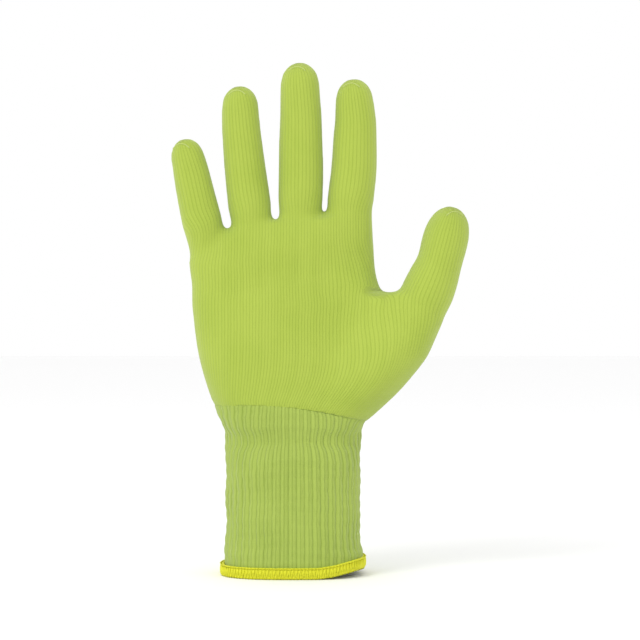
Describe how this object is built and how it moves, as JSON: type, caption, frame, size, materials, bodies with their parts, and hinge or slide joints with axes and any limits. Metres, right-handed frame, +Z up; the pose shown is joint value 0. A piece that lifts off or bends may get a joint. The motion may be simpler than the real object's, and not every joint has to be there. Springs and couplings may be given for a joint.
{
  "type": "cut resistant glove",
  "caption": "Seamless knit work glove for a right hand, standing on its ribbed cuff, with stalls that bend at the knuckles and an overlocked hem.",
  "frame": {"origin": "on the floor, under the middle of the glove's bounding box", "axes": "+Z up the fingers, -Y out of the palm (the side that is seen), +X towards the thumb"},
  "size_m": [0.1468, 0.0562, 0.2547],
  "materials": {
    "jersey": "lime yellow-green plain knit, matt, fine vertical wales",
    "cuff_rib": "lime yellow-green rib knit with elastic laid in, matt",
    "hem_thread": "yellow spun polyester overlock thread",
    "elastic_yarn": "covered elastic yarn, off-white"
  },
  "bodies": {
    "cuff": {"cuff_rib": "cuff_rib", "cuff_elastic_yarn": "elastic_yarn", "hem_edge": "hem_thread", "hem_upper_looper_thread": "hem_thread", "hem_lower_looper_thread": "hem_thread", "hem_needle_thread": "hem_thread"},
    "lower_palm": {"lower_palm": "jersey"},
    "upper_palm": {"upper_palm": "jersey"},
    "little_finger_root": {"little_finger_root": "jersey"},
    "little_finger_middle": {"little_finger_middle": "jersey"},
    "little_finger_tip": {"little_finger_tip": "jersey"},
    "ring_finger_root": {"ring_finger_root": "jersey"},
    "ring_finger_middle": {"ring_finger_middle": "jersey"},
    "ring_finger_tip": {"ring_finger_tip": "jersey"},
    "middle_finger_root": {"middle_finger_root": "jersey"},
    "middle_finger_middle": {"middle_finger_middle": "jersey"},
    "middle_finger_tip": {"middle_finger_tip": "jersey"},
    "index_finger_root": {"index_finger_root": "jersey"},
    "index_finger_middle": {"index_finger_middle": "jersey"},
    "index_finger_tip": {"index_finger_tip": "jersey"},
    "thumb_root": {"thumb_root": "jersey"},
    "thumb_tip": {"thumb_tip": "jersey"}
  },
  "joints": [
    {"name": "wrist", "type": "hinge", "parent": "cuff", "child": "lower_palm", "pos_m": [-0.01299, 0.0006, 0.072], "axis": [1, 0, 0], "range_deg": [-35, 45]},
    {"name": "palm_fold", "type": "hinge", "parent": "lower_palm", "child": "upper_palm", "pos_m": [-0.01849, 0.0006, 0.152], "axis": [0.9903, 0, 0.1392], "range_deg": [-8, 65]},
    {"name": "little_root_knuckle", "type": "hinge", "parent": "upper_palm", "child": "little_finger_root", "pos_m": [-0.05819, 0.0001, 0.1744], "axis": [0.977, -0.0241, 0.2119], "range_deg": [-8, 25]},
    {"name": "little_middle_knuckle", "type": "hinge", "parent": "little_finger_root", "child": "little_finger_middle", "pos_m": [-0.06109, -0.0014, 0.1876], "axis": [0.9789, -0.0276, 0.2027], "range_deg": [0, 85]},
    {"name": "little_tip_knuckle", "type": "hinge", "parent": "little_finger_middle", "child": "little_finger_tip", "pos_m": [-0.06419, -0.0034, 0.2023], "axis": [0.9793, -0.0405, 0.1983], "range_deg": [0, 51]},
    {"name": "ring_root_knuckle", "type": "hinge", "parent": "upper_palm", "child": "ring_finger_root", "pos_m": [-0.03458, 0.0001, 0.183], "axis": [0.9928, -0.0108, 0.1194], "range_deg": [-8, 25]},
    {"name": "ring_middle_knuckle", "type": "hinge", "parent": "ring_finger_root", "child": "ring_finger_middle", "pos_m": [-0.03658, -0.0014, 0.1995], "axis": [0.9949, -0.0139, 0.0999], "range_deg": [0, 90]},
    {"name": "ring_tip_knuckle", "type": "hinge", "parent": "ring_finger_middle", "child": "ring_finger_tip", "pos_m": [-0.03879, -0.0044, 0.221], "axis": [0.9996, -0.0054, 0.0262], "range_deg": [0, 54]},
    {"name": "middle_root_knuckle", "type": "hinge", "parent": "upper_palm", "child": "middle_finger_root", "pos_m": [-0.00928, 0.0001, 0.1855], "axis": [0.9999, 0.0015, -0.017], "range_deg": [-8, 25]},
    {"name": "middle_middle_knuckle", "type": "hinge", "parent": "middle_finger_root", "child": "middle_finger_middle", "pos_m": [-0.00898, -0.0014, 0.203], "axis": [1, -0.0005, 0.0038], "range_deg": [0, 90]},
    {"name": "middle_tip_knuckle", "type": "hinge", "parent": "middle_finger_middle", "child": "middle_finger_tip", "pos_m": [-0.00908, -0.0049, 0.229], "axis": [0.9997, -0.0044, 0.0227], "range_deg": [0, 54]},
    {"name": "index_root_knuckle", "type": "hinge", "parent": "upper_palm", "child": "index_finger_root", "pos_m": [0.01562, 0.0001, 0.1855], "axis": [0.9936, 0.0097, -0.1127], "range_deg": [-8, 25]},
    {"name": "index_middle_knuckle", "type": "hinge", "parent": "index_finger_root", "child": "index_finger_middle", "pos_m": [0.01761, -0.0014, 0.203], "axis": [0.9997, 0.0033, -0.0256], "range_deg": [0, 90]},
    {"name": "index_tip_knuckle", "type": "hinge", "parent": "index_finger_middle", "child": "index_finger_tip", "pos_m": [0.01821, -0.0044, 0.226], "axis": [0.9984, -0.0109, 0.056], "range_deg": [0, 54]},
    {"name": "thumb_root_knuckle", "type": "hinge", "parent": "lower_palm", "child": "thumb_root", "pos_m": [0.05301, -0.0124, 0.1392], "axis": [0.3548, -0.8876, -0.2938], "range_deg": [-10, 20]},
    {"name": "thumb_tip_knuckle", "type": "hinge", "parent": "thumb_root", "child": "thumb_tip", "pos_m": [0.05901, -0.0149, 0.154], "axis": [0.4169, -0.8957, -0.1548], "range_deg": [0, 40]}
  ],
  "couplings": [
    {"joint": "little_tip_knuckle", "follows": "little_middle_knuckle", "ratio": 0.6},
    {"joint": "ring_tip_knuckle", "follows": "ring_middle_knuckle", "ratio": 0.6},
    {"joint": "middle_tip_knuckle", "follows": "middle_middle_knuckle", "ratio": 0.6},
    {"joint": "index_tip_knuckle", "follows": "index_middle_knuckle", "ratio": 0.6}
  ]
}
